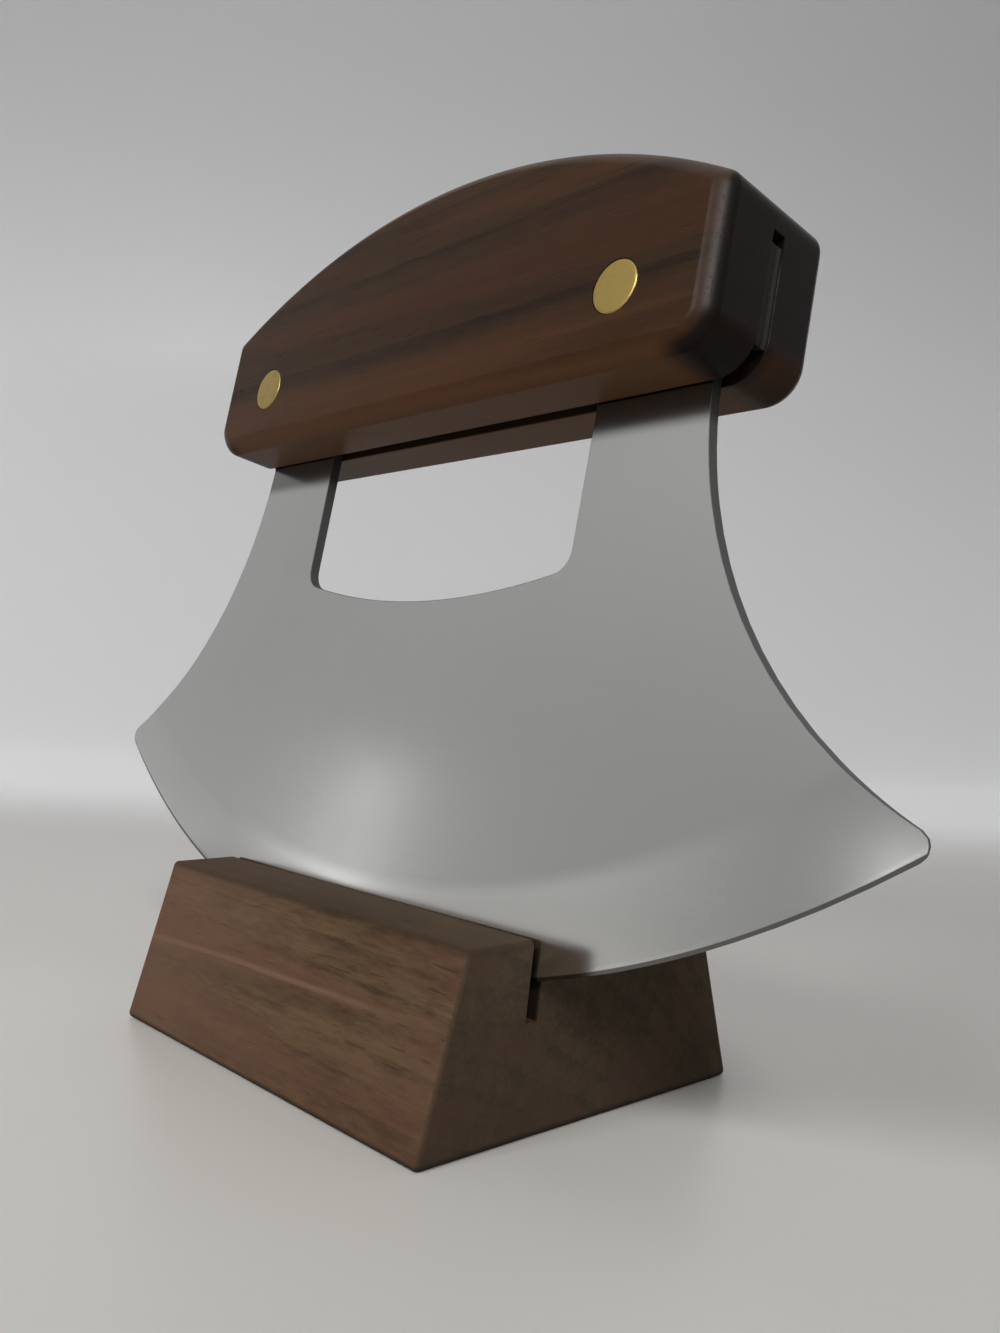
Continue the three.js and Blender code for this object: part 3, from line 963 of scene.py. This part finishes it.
def walnut(finish, point, size, pith, ring, figure, fleck):
    """Solid walnut: long streaks, fine fibres, faint growth rings about a pith along X, and open pores.

    The rings are the fraction of radius / ring, the radius pushed about by slow noise. They show as arcs
    across the ends and only lend the sides a broad figure. Returns the colour, the fibres and the pores.
    """
    _, y, z = finish.split(point)
    drift = finish.noise(point, (9, 60, 60), 1.0) - 0.5
    from_y = y - pith[0]
    from_z = z - pith[1]
    radius = (from_y * from_y + from_z * from_z) ** 0.5 + drift * (5 * MM)
    year = (radius / ring).math("FRACT")
    late = year.step(0.35, 0.95) * year.step(1.0, 0.93)
    streak = finish.noise(point, (5, 105, 105), 4.0, 0.6).step(0.3, 0.7)
    fibre = finish.noise(point, (26, 1100, 1100), 4.0, 0.7)
    thread = finish.noise(point, (330, 1900, 1900), 3.0, 0.7).step(0.3, 0.7)
    pores = finish.noise(point, (190, 4300, 4300), 1.0).step(0.34, 0.24)
    mottle = finish.noise(point, (110, 420, 420), 2.0).step(0.3, 0.7)
    flecks = (thread + mottle) / 2 - 0.5
    tone = 0.5 + figure * (streak - 0.5) + 0.8 * (fibre - 0.5) + fleck * flecks - 0.3 * (late - 0.3)
    wood = finish.mix(tone, size.dark, size.pale)
    red = finish.noise(point, (7, 150, 150), 3.0).step(0.46, 0.66)
    wood = finish.mix(red * 0.6, wood, size.red)
    wood = finish.mix(pores * 0.5, wood, 0.4 * size.dark)
    return wood, fibre, pores


def handle_finish(size):
    """Dark walnut with a satin oil finish, dark ends as end grain and painted shade, a paler dry underside
    and a kerf painted dark as shade.

    The skin of the ends and the underside is where the distance past the centres of the lower corners,
    sqrt(past_u^2 + past_w^2), nears the corners' radius. The upright edges carry a painted highlight, and
    the painted shade of the ends is lighter low down behind the kerf.
    """
    finish = Finish("oiled_walnut")
    point = knife_place(finish)
    u, v, w = finish.split(point)
    pith = (16 * MM, size.rise - 34 * MM)
    wood, fibre, pores = walnut(finish, point, size, pith, 5.2 * MM, 0.5, 0.3)
    corner = size.lower_corner
    foot_u = size.half - corner
    past_u = (abs(u) - foot_u).math("MAXIMUM", 0)
    past_w = (size.rise + corner - w).math("MAXIMUM", 0)
    reach = (past_u * past_u + past_w * past_w) ** 0.5
    end = abs(u).step(foot_u - 3 * MM, foot_u + 1.5 * MM)
    dry = reach.step(corner - 2 * MM, corner - 0.3 * MM) * (1 - end)
    low = w.step(size.rise + corner + 1 * MM, size.rise + corner - 2 * MM)
    thin = reach.step(corner - 0.95 * MM, corner - 0.45 * MM)
    thick = reach.step(corner - 1.7 * MM, corner - 0.5 * MM)
    rear = v.step(0, 3 * MM)
    # Ends and their corners painted near black: partly end grain, the rest painted shade
    end_grain_and_shade = end * (thin * (1 - low) + thick * low) * (1 - 0.5 * low * rear)
    face = size.thickness / 2
    # Painted highlight on the upright eased edges
    upright = abs(u).step(size.half - size.easing, size.half - size.easing / 2)
    edge_highlight = upright * abs(v).step(face - size.easing, face - size.easing / 2)
    roof = size.rise + size.kerf_depth
    # Inside of the kerf painted dark as shade, and rougher
    sawn_and_shaded = abs(v).step(size.kerf / 2 + 0.1 * MM, size.kerf / 2) * w.step(roof + 0.3 * MM, roof + 0.05 * MM)
    shade = 0.25 * size.dark
    warm = w.step(size.rise + 9.5 * MM, size.rise + 4 * MM) * (0.5 + 0.5 * u.step(40 * MM, 0))
    core = abs(w - size.rise - 15 * MM).step(6 * MM, 1 * MM)
    wood = finish.mix(0.2 * core, wood, size.dark)
    wood = finish.mix(0.45 * warm, wood, 1.4 * size.red)
    wood = finish.mix(dry * 0.85, wood, 1.7 * size.pale)
    wood = finish.mix(edge_highlight * 0.5, wood, size.edge_highlight)
    wood = finish.mix(end_grain_and_shade * 0.96, wood, shade)
    wood = finish.mix(sawn_and_shaded * 0.85, wood, shade)
    worn = finish.noise(point, (30, 60, 60), 3.0)
    roughness = 0.28 + 0.1 * fibre + 0.2 * pores + 0.1 * worn + 0.1 * dry + 0.4 * sawn_and_shaded
    return finish.done(
        Base_Color=wood, Roughness=roughness, Specular_IOR_Level=0.12,
        Normal=finish.bump(fibre * 0.4 - pores, 0.35, 0.05 * MM))


def glue_finish(size):
    """Dark set glue with wood dust in it, paler in a line down its rear half."""
    finish = Finish("dusty_glue")
    point = knife_place(finish)
    dust = finish.noise(point, (900, 900, 900), 4.0)
    cloud = finish.noise(point, (160, 160, 160), 2.0)
    tone = finish.mix(cloud * 0.7 + dust * 0.4 - 0.2, 0.5 * size.glue, size.glue)
    _, v, _ = finish.split(point)
    line = v.step(0, 0.35 * MM) * v.step(0.9 * MM, 0.6 * MM)
    tone = finish.mix(line, tone, size.glue_line)
    return finish.done(
        Base_Color=tone, Roughness=0.45 + 0.3 * dust, Specular_IOR_Level=0.2,
        Normal=finish.bump(dust, 0.4, 0.06 * MM))


def brass_finish(size):
    """Filed brass: fine scratches one way, warmer and duller patches of tarnish."""
    finish = Finish("filed_brass")
    point = knife_place(finish)
    scratches = finish.noise(point, (4200, 200, 500), 3.0)
    tarnish = finish.noise(point, (420, 420, 420), 3.0).step(0.45, 0.75)
    brass = finish.mix(tarnish * 0.6, size.brass, 0.72 * size.brass)
    roughness = size.roughness + 0.16 * (scratches - 0.5) + 0.14 * tarnish
    return finish.done(
        Base_Color=brass, Metallic=1.0, Roughness=roughness, Normal=finish.bump(scratches, 0.25, 0.02 * MM))


def stand_finish(size):
    """Bare walnut, sanded but dry: open pores, woolly fibres, a pale sap line over a dark one, darker ends,
    a top and a slot painted darker as shade, and a painted contact shadow along the foot.
    """
    finish = Finish("bare_walnut")
    point = finish.place()
    x, y, z = finish.split(point)
    pith = (-38 * MM, -46 * MM)
    wood, fibre, pores = walnut(finish, point, size, pith, 3.2 * MM, 0.34, 1.1)
    sway = finish.noise(point, (18, 40, 40), 2.0) - 0.5
    slope, sap_height = 0.033, 12.2 * MM
    height = z - slope * x - sap_height + sway * (1.6 * MM)
    front = y.step(4 * MM, -12 * MM) * x.step(30 * MM, 4 * MM)
    line = abs(height).step(0.5 * MM, 0.1 * MM) * front
    seam = abs(height + 1.7 * MM).step(1.2 * MM, 0.3 * MM) * front
    wood = finish.mix(line * 0.6, wood, size.streak)
    wood = finish.mix(seam * 0.5, wood, size.dark)
    faded = x.step(18 * MM, -32 * MM)
    wood = finish.mix(faded * 0.55, wood, size.sunned)
    wood = finish.mix(0.14 * z.step(9 * MM, 0), wood, size.dark)
    end = abs(x).step(STAND_HIGH.x - 0.5 * MM, STAND_HIGH.x - 0.1 * MM)
    # Top face painted darker as the shade of the blade and handle
    top_shade = z.step(STAND_HIGH.z - 1.0 * MM, STAND_HIGH.z - 0.1 * MM)
    floor, _, over = slot_lines(size, LEAN)
    behind = (y - floor[0]) * over[0] + (z - floor[1]) * over[1]
    past_front = behind.step(-size.slot_front - 0.05 * MM, -size.slot_front)
    before_back = behind.step(size.slot_back + 0.05 * MM, size.slot_back)
    under_lips = z.step(STAND_HIGH.z - 0.3 * MM, STAND_HIGH.z - 1.5 * MM)
    # Inside of the slot painted dark as shade
    sawn_and_shaded = past_front * before_back * under_lips * z.step(floor[1] - 0.1 * MM, floor[1])
    wood = finish.mix(sawn_and_shaded * 0.9, wood, 0.2 * size.dark)
    wood = finish.mix(end * 0.65, wood, size.end_grain)
    wood = finish.mix(top_shade * 0.7, wood, 0.7 * size.dark)
    # Painted contact shadow along the foot
    contact_shadow = z.step(1.0 * MM, 0.25 * MM)
    wood = finish.mix(contact_shadow * 0.85, wood, 0.2 * size.dark)
    wool = finish.noise(point, (700, 2100, 2100), 3.0)
    roughness = 0.62 + 0.16 * fibre + 0.1 * wool
    return finish.done(
        Base_Color=wood, Roughness=roughness, Specular_IOR_Level=0.18,
        Normal=finish.bump(fibre * 0.5 + wool * 0.5 - pores, 0.5, 0.08 * MM))


def floor_finish(size):
    """Plain pale floor with a low sheen, turning into a paler backdrop a little way behind the part.

    The backdrop's glow is for the camera and the steel alone: it fades up the wall and lights nothing. Far
    from the part the camera looks through the floor at the pale room, so no edge of it shows.
    """
    finish = Finish("pale_floor")
    point = finish.place(rotation=(0, 0, CAMERA_AZIMUTH))
    across, away, z = finish.split(point)
    cloud = finish.noise(point, (14, 14, 14), 3.0)
    behind = away.step(0.17, 0.32)
    pale = finish.mix(behind, size.floor, size.backdrop)
    camera = finish.add("ShaderNodeLightPath", output="Is Camera Ray")
    mirrored = finish.add("ShaderNodeLightPath", output="Is Glossy Ray")
    seen = camera * z.step(0.55, 0.0) * 0.45 + mirrored
    glow = finish.mix(seen * behind, (0, 0, 0), size.backdrop)
    aside = (across * across + away * away) ** 0.5
    far = (aside.step(0.4, 1.0) * (1 - behind)).math("MAXIMUM", abs(across).step(0.6, 1.2))
    return finish.done(
        Base_Color=pale, Roughness=size.roughness - 0.04 + 0.08 * cloud, Specular_IOR_Level=0.28,
        Emission_Color=glow, Emission_Strength=size.glow, Alpha=1 - camera * far)


# Operators

class ULU_OT_stage(bpy.types.Operator):
    """Adds the camera, the floor that sweeps up into a backdrop, and the soft lights."""
    bl_idname = "ulu.stage"
    bl_label = "Stage"

    def execute(self, context):
        size = context.scene.ulu_stage
        right, up, back = camera_axes()
        camera = bpy.data.objects.new("camera", bpy.data.cameras.new("camera"))
        camera.data.lens = CAMERA_LENS
        camera.data.clip_start = 0.005
        camera.matrix_world = Matrix((right, up, back)).transposed().to_4x4()
        camera.location = CAMERA_TARGET + back * CAMERA_DISTANCE
        context.scene.collection.objects.link(camera)
        context.scene.camera = camera
        floor_mesh(floor_finish(size))
        middle_of_part = (cad_box[0] + cad_box[1]) / 2
        for name, lamp in LAMPS.items():
            add_light(name, getattr(size, name), middle_of_part, *lamp)
        add_light("wash", size.wash, WASH_AIM, *WASH_LAMP)
        light_all_round(context.scene, size)
        context.scene.view_settings.view_transform = "Standard"
        return {"FINISHED"}


class ULU_OT_stand(bpy.types.Operator):
    """Adds the slotted wooden stand."""
    bl_idname = "ulu.stand"
    bl_label = "Stand"

    def execute(self, context):
        size = context.scene.ulu_stand
        fit(stand_mesh(size, stand_finish(size)), STAND_BODY, "stand_wood", "stand")
        return {"FINISHED"}


class ULU_OT_blade(bpy.types.Operator):
    """Adds the steel blade with its ground and honed edge."""
    bl_idname = "ulu.blade"
    bl_label = "Blade"

    def execute(self, context):
        size = context.scene.ulu_blade
        fit(blade_mesh(size, steel_finish(size)), KNIFE_BODY, "blade_steel", "blade")
        return {"FINISHED"}


class ULU_OT_handle(bpy.types.Operator):
    """Adds the wooden handle and the glue in its kerf."""
    bl_idname = "ulu.handle"
    bl_label = "Handle"

    def execute(self, context):
        size = context.scene.ulu_handle
        fit(handle_mesh(size, handle_finish(size)), KNIFE_BODY, "handle_wood", "handle")
        fit(glue_mesh(size, context.scene.ulu_blade, glue_finish(size)), KNIFE_BODY, "handle_wood")
        return {"FINISHED"}


class ULU_OT_pins(bpy.types.Operator):
    """Adds the two brass pins through the handle."""
    bl_idname = "ulu.pins"
    bl_label = "Pins"

    def execute(self, context):
        size = context.scene.ulu_pins
        reach = context.scene.ulu_handle.thickness / 2
        brass = brass_finish(size)
        for name, u in (("pin_left", -PIN_U), ("pin_right", PIN_U)):
            fit(pin_mesh(f"ulu_{name}", u, size, reach, brass), KNIFE_BODY, "pin_brass", name)
        return {"FINISHED"}


# Stage

def camera_axes():
    """Right, up and back of the camera, from its azimuth, elevation and roll."""
    a, e, r = CAMERA_AZIMUTH, CAMERA_ELEVATION, CAMERA_ROLL
    back = Vector((math.sin(a) * math.cos(e), -math.cos(a) * math.cos(e), math.sin(e)))
    level = Vector((math.cos(a), math.sin(a), 0))
    up = back.cross(level)
    return level * math.cos(r) + up * math.sin(r), up * math.cos(r) - level * math.sin(r), back


def floor_mesh(material):
    """Floor and backdrop: a flat, a quarter circle and an upright, carried along the camera's level."""
    near, reach, bend, height, width = -3.0, 0.46, 0.3, 1.6, 3.0
    cove = arc((reach, bend), bend, -math.pi / 2, 0, 24)
    path = np.concatenate([[[near, 0]], cove, [[reach + bend, height]]])
    across = np.linspace(-width, width, 3)
    away = np.array([-math.sin(CAMERA_AZIMUTH), math.cos(CAMERA_AZIMUTH)])
    level = np.array([math.cos(CAMERA_AZIMUTH), math.sin(CAMERA_AZIMUTH)])
    flat = path[:, None, :1] * away + across[:, None] * level
    up = np.broadcast_to(path[:, None, 1:], (*flat.shape[:2], 1))
    skin = Skin()
    skin.grid(np.concatenate([flat, up], axis=-1))
    return skin.build("floor", material, closed=False)


def add_light(name, watts, target, width, height, azimuth, elevation, distance):
    """Rectangular lamp that faces a point from a direction in degrees."""
    a, e = math.radians(azimuth), math.radians(elevation)
    back = Vector((math.sin(a) * math.cos(e), -math.cos(a) * math.cos(e), math.sin(e)))
    lamp = bpy.data.lights.new(name, "AREA")
    lamp.energy = watts
    lamp.shape = "RECTANGLE"
    lamp.size = width
    lamp.size_y = height
    light = bpy.data.objects.new(name, lamp)
    light.matrix_world = back.to_track_quat("Z", "Y").to_matrix().to_4x4()
    light.location = target + back * distance
    bpy.context.scene.collection.objects.link(light)


def light_all_round(scene, size):
    """World: a low even light, and a pale room that only the camera and the steel see.

    The room is brighter overhead and towards -X.
    """
    scene.world = bpy.data.worlds.new("surroundings")
    scene.world.use_nodes = True
    room = Nodes(scene.world.node_tree)

    def background(strength):
        """White light of a strength."""
        return room.add("ShaderNodeBackground", {}, {"Color": (1, 1, 1, 1), "Strength": strength})

    def between(share_of_second, first, second):
        """Mix of two lights."""
        return room.add("ShaderNodeMixShader", {}, {0: share_of_second, 1: first, 2: second})

    x, _, z = room.split(room.add("ShaderNodeTexCoord", output="Generated"))
    walls = between(x.step(-0.5, -0.95), background(size.surroundings), background(1.25 * size.surroundings))
    pale_room = between(z.step(0.15, 0.6), walls, background(1.45 * size.surroundings))
    rays = ("Camera", "Glossy", "Transmission")
    camera, glossy, through = [room.add("ShaderNodeLightPath", output=f"Is {ray} Ray") for ray in rays]
    seen = camera.math("MAXIMUM", glossy).math("MAXIMUM", through)
    lit = between(seen, background(size.ambient), pale_room)
    room.feed(room.tree.nodes["World Output"], {"Surface": lit})


# Panel and registration

class VIEW3D_PT_ulu(bpy.types.Panel):
    """Sizes, colours and buttons of the knife and its stand"""
    bl_label = "Ulu"
    bl_space_type = "VIEW_3D"
    bl_region_type = "UI"
    bl_category = "Ulu"

    def draw(self, context):
        for group in GROUPS:
            box = self.layout.box()
            box.operator(group.replace("_", "."))
            settings = getattr(context.scene, group)
            for name in settings.__annotations__:
                box.prop(settings, name)


GROUPS = {
    "ulu_stage": StageSettings,
    "ulu_stand": StandSettings,
    "ulu_blade": BladeSettings,
    "ulu_handle": HandleSettings,
    "ulu_pins": PinSettings,
}
CLASSES = [
    *GROUPS.values(), ULU_OT_stage, ULU_OT_stand, ULU_OT_blade, ULU_OT_handle, ULU_OT_pins, VIEW3D_PT_ulu]


def register():
    for cls in CLASSES:
        bpy.utils.register_class(cls)
    for name, group in GROUPS.items():
        setattr(bpy.types.Scene, name, PointerProperty(type=group))


def unregister():
    for name in GROUPS:
        delattr(bpy.types.Scene, name)
    for cls in reversed(CLASSES):
        bpy.utils.unregister_class(cls)


def main():
    """Builds the stage and every piece."""
    register()
    bpy.ops.ulu.stage()
    bpy.ops.ulu.stand()
    bpy.ops.ulu.blade()
    bpy.ops.ulu.handle()
    bpy.ops.ulu.pins()


if __name__ == "__main__":
    main()
